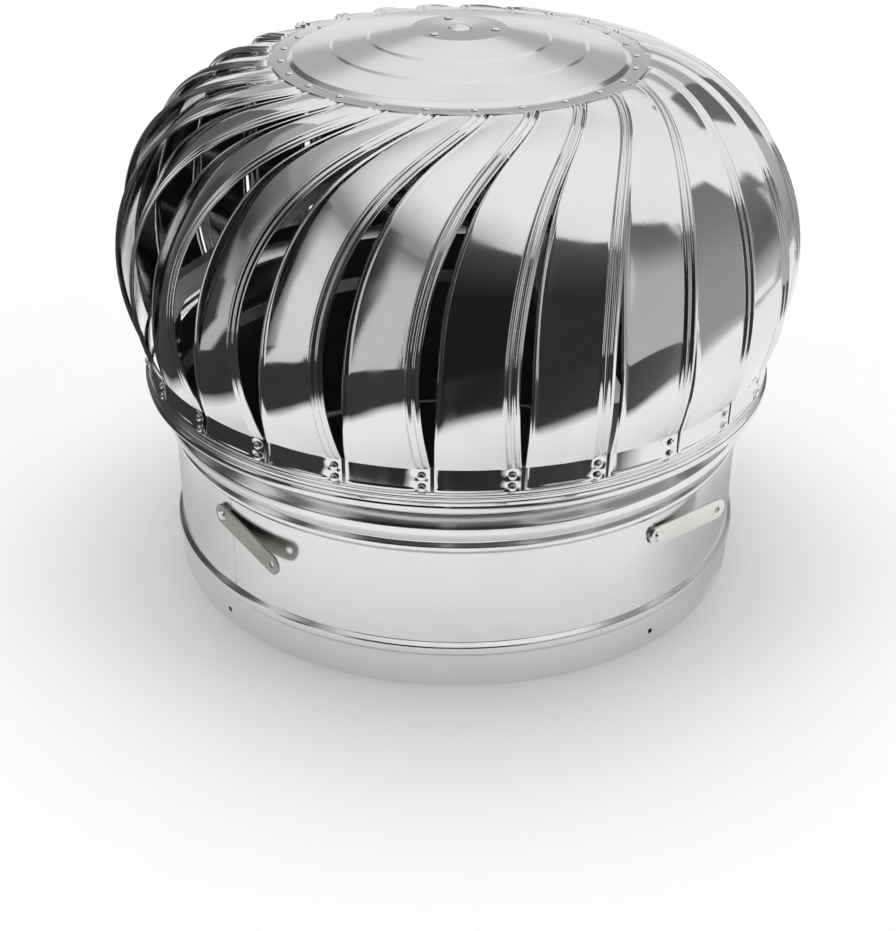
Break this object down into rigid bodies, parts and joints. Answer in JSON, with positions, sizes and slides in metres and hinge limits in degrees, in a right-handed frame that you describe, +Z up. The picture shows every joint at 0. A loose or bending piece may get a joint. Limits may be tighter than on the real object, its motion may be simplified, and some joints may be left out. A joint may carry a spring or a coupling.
{
  "type": "roof turbine ventilator",
  "caption": "Wind-driven roof ventilator: a globe of twisted, ribbed sheet-metal vanes spins on a central bearing above a round beaded throat that slips over a roof duct.",
  "frame": {"origin": "centre of the neck's lower edge", "axes": "+Z up along the rotor axis, -Y towards the front"},
  "size_m": [0.5739, 0.5735, 0.4688],
  "materials": {
    "vane_steel": "mirror-bright stainless sheet",
    "neck_steel": "bright rolled stainless sheet",
    "ring_steel": "bright rolled stainless sheet",
    "top_steel": "satin, spun stainless sheet",
    "rivet_metal": "plain, lightly domed",
    "frame_steel": "plain pressed steel",
    "strap_steel": "dull rolled strip",
    "shaft_steel": "turned and ground"
  },
  "bodies": {
    "base": {"neck_shell": "neck_steel", "support_arm_1": "frame_steel", "support_arm_2": "frame_steel", "support_arm_3": "frame_steel", "arm_rivets": "rivet_metal", "bearing_housing": "frame_steel", "bearing_outer_ring_upper": "shaft_steel", "bearing_outer_ring_lower": "shaft_steel", "housing_bolts": "shaft_steel", "housing_nuts": "shaft_steel", "strap_rivets": "rivet_metal"},
    "rotor": {"rotor_ring": "ring_steel", "top_plate": "top_steel", "rim_rivets": "rivet_metal", "foot_rivets": "rivet_metal", "rotor_shaft": "shaft_steel", "shaft_rivets": "rivet_metal", "bearing_inner_ring_upper": "shaft_steel", "bearing_inner_ring_lower": "shaft_steel", "bearing_sleeve": "shaft_steel", "shaft_washer": "shaft_steel", "shaft_nut": "shaft_steel", "vane_01": "vane_steel", "vane_02": "vane_steel", "vane_03": "vane_steel", "vane_04": "vane_steel", "vane_05": "vane_steel", "vane_06": "vane_steel", "vane_07": "vane_steel", "vane_08": "vane_steel", "vane_09": "vane_steel", "vane_10": "vane_steel", "vane_11": "vane_steel", "vane_12": "vane_steel", "vane_13": "vane_steel", "vane_14": "vane_steel", "vane_15": "vane_steel", "vane_16": "vane_steel", "vane_17": "vane_steel", "vane_18": "vane_steel", "vane_19": "vane_steel", "vane_20": "vane_steel", "vane_21": "vane_steel", "vane_22": "vane_steel", "vane_23": "vane_steel", "vane_24": "vane_steel", "vane_25": "vane_steel"},
    "tie_strap_1": {"tie_strap_1": "strap_steel"},
    "tie_strap_2": {"tie_strap_2": "strap_steel"},
    "tie_strap_3": {"tie_strap_3": "strap_steel"},
    "tie_strap_4": {"tie_strap_4": "strap_steel"}
  },
  "joints": [
    {"name": "rotor_spin", "type": "hinge", "parent": "base", "child": "rotor", "pos_m": [0, 0, 0.372], "axis": [0, 0, 1], "continuous": true},
    {"name": "strap_1_swing", "type": "hinge", "parent": "base", "child": "tie_strap_1", "pos_m": [-0.1894, -0.16349, 0.107], "axis": [-0.757, -0.6534, 0], "range_deg": [-38.5, 25.5]},
    {"name": "strap_2_swing", "type": "hinge", "parent": "base", "child": "tie_strap_2", "pos_m": [0.16349, -0.1894, 0.107], "axis": [0.6534, -0.757, 0], "range_deg": [-48.4, 15.6]},
    {"name": "strap_3_swing", "type": "hinge", "parent": "base", "child": "tie_strap_3", "pos_m": [0.1894, 0.16349, 0.107], "axis": [0.757, 0.6534, 0], "range_deg": [-44, 20]},
    {"name": "strap_4_swing", "type": "hinge", "parent": "base", "child": "tie_strap_4", "pos_m": [-0.16349, 0.1894, 0.107], "axis": [-0.6534, 0.757, 0], "range_deg": [-41, 23]}
  ]
}
